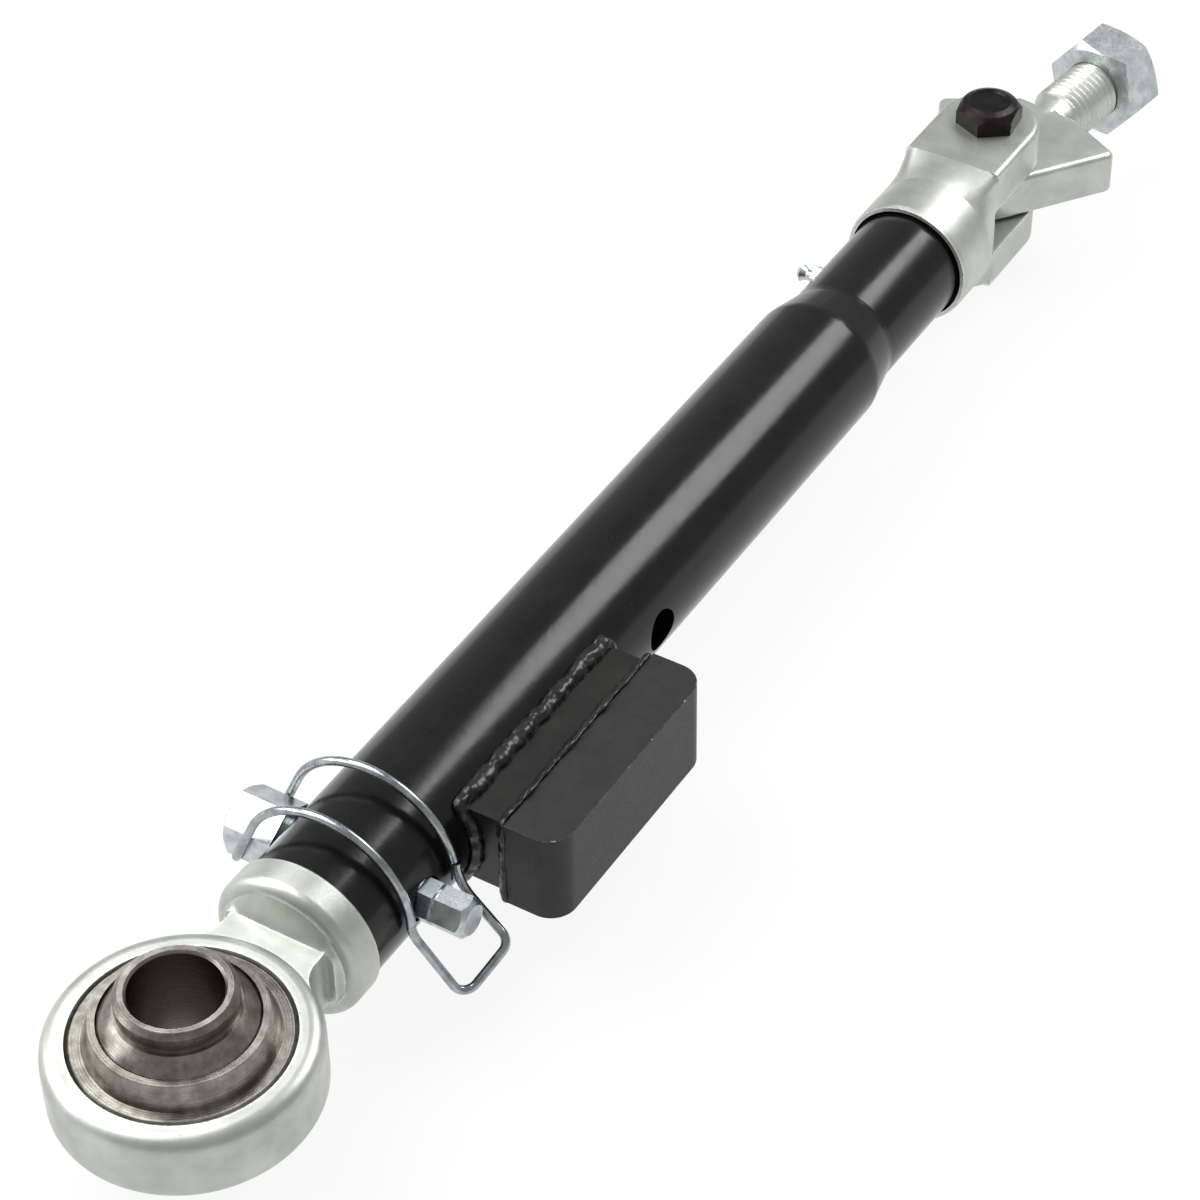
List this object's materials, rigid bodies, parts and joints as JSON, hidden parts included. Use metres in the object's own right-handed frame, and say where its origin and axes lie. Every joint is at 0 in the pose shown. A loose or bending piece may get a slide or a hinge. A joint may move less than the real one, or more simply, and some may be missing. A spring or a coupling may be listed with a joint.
{
  "type": "tractor lower link stabilizer",
  "caption": "Telescopic tractor lower link stabilizer with swivel ball eye, lock pin with wire bail, stop block and a clevis that carries a swinging threaded stud",
  "frame": {"origin": "centre of the swivel ball, on the axis of its bore", "axes": "+X runs along the tube from the ball to the clevis, +Z is the ball's bore axis and points up, +Y makes the frame right-handed, so the stop block is on the -Y side"},
  "size_m": [0.6535, 0.1025, 0.076],
  "materials": {
    "tube_paint": "gloss",
    "block_paint": "satin",
    "weld_paint": "gloss",
    "forging_zinc": "matte",
    "machined_steel": "satin",
    "bright_zinc": "satin",
    "spring_wire": "gloss",
    "black_oxide": "satin",
    "bush_steel": "satin",
    "seal_rubber": "matte",
    "lock_nylon": "matte"
  },
  "bodies": {
    "tube": {"outer_tube": "tube_paint", "stop_block": "block_paint", "block_web": "weld_paint", "weld_beads": "weld_paint", "grease_nipple": "bright_zinc", "nipple_ball": "machined_steel"},
    "eye": {"eye_end": "forging_zinc", "ball_race": "machined_steel"},
    "ball": {"swivel_ball": "machined_steel"},
    "pin": {"lock_pin": "bright_zinc"},
    "bail": {"wire_bail": "spring_wire"},
    "seal": {"dust_seal": "seal_rubber"},
    "fork": {"clevis": "forging_zinc", "pivot_bolt": "black_oxide", "pivot_nut": "black_oxide", "nut_lock_ring": "lock_nylon", "pivot_bush": "bush_steel"},
    "arm": {"swing_arm": "forging_zinc"},
    "nut": {"stud_nut": "bright_zinc"}
  },
  "joints": [
    {"name": "telescope", "type": "slide", "parent": "tube", "child": "eye", "axis": [-1, 0, 0], "range_m": [0, 0.04]},
    {"name": "ball_tilt", "type": "hinge", "parent": "eye", "child": "ball", "pos_m": [0, 0, 0], "axis": [0, 1, 0], "range_deg": [-12, 12]},
    {"name": "pin_slide", "type": "slide", "parent": "tube", "child": "pin", "axis": [0, 1, 0], "range_m": [0, 0.0195]},
    {"name": "bail_swing", "type": "hinge", "parent": "pin", "child": "bail", "pos_m": [0.0902, 0.0386, -0.0045], "axis": [-1, 0, 0], "range_deg": [0, 180]},
    {"name": "screw_travel", "type": "slide", "parent": "tube", "child": "seal", "axis": [1, 0, 0], "range_m": [0, 0.0361]},
    {"name": "clevis_turn", "type": "hinge", "parent": "seal", "child": "fork", "pos_m": [0.46, 0, 0], "axis": [1, 0, 0], "range_deg": [0, 4320]},
    {"name": "arm_swing", "type": "hinge", "parent": "fork", "child": "arm", "pos_m": [0.516, 0, 0], "axis": [0, 0, 1], "range_deg": [-50, 55]},
    {"name": "nut_travel", "type": "slide", "parent": "arm", "child": "nut", "axis": [0.9914, -0.1305, 0], "range_m": [-0.021, 0.024]}
  ],
  "couplings": [
    {"joint": "pin_slide", "follows": "bail_swing", "m_per_rad": 0.006},
    {"joint": "screw_travel", "follows": "clevis_turn", "m_per_rad": 0.00047746}
  ]
}
